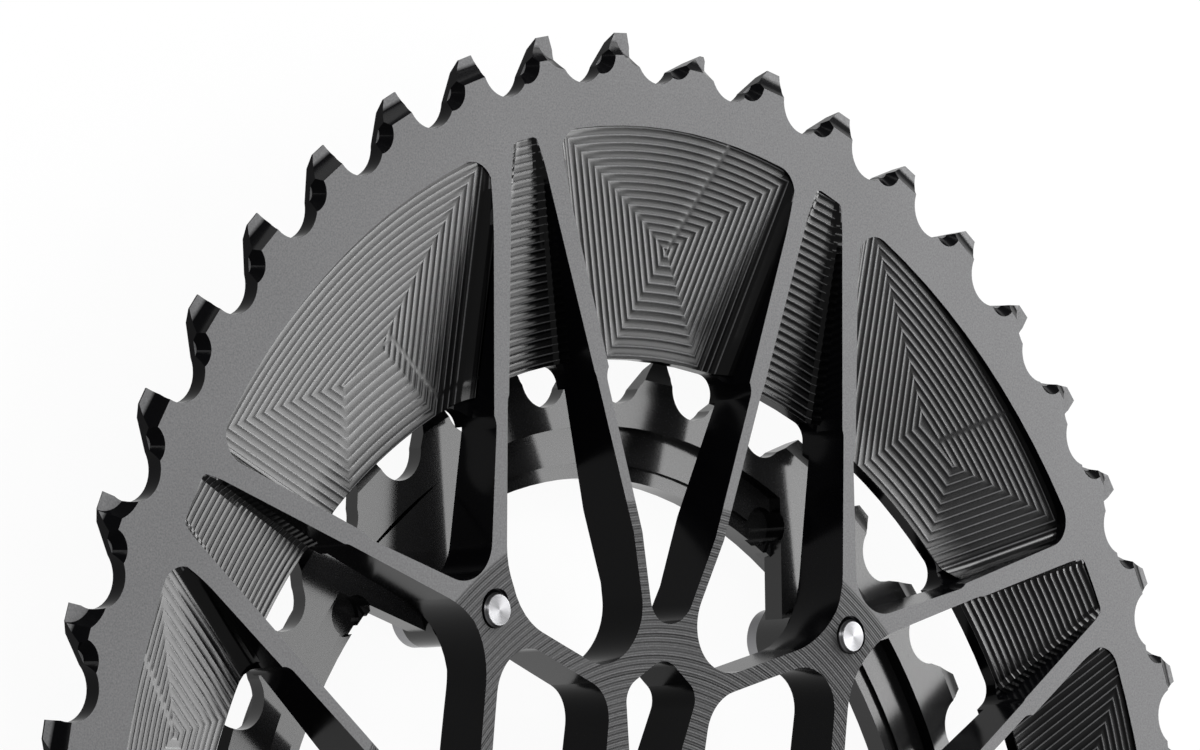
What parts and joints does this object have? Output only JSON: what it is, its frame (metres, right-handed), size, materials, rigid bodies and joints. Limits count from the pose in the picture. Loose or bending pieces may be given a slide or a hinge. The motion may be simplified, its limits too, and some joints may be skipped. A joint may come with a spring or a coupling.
{
  "type": "bicycle chainring set",
  "caption": "Oval two-ring chainring set for a road bicycle: an outer ring milled in one piece with its open spider, and an inner ring bolted to it from behind.",
  "frame": {"origin": "centre of the spindle bore, in the plane the set lies on, which is the hub's back and the bolt heads", "axes": "+Z along the ring's axis out of the decorated front face; +Y towards the tooth that is at the top in the picture; the ovals' long axis is 7 degrees from +Y towards -X"},
  "size_m": [0.1944, 0.2162, 0.0142],
  "materials": {
    "outer_ring_aluminium": "satin black anodised",
    "inner_ring_aluminium": "satin black anodised, turned",
    "bolt_steel": "turned"
  },
  "bodies": {
    "root": {"outer_chainring": "outer_ring_aluminium", "inner_chainring": "inner_ring_aluminium", "chainring_bolt_1": "bolt_steel", "chainring_bolt_2": "bolt_steel", "chainring_bolt_3": "bolt_steel", "chainring_bolt_4": "bolt_steel", "chainring_bolt_5": "bolt_steel"}
  },
  "joints": []
}
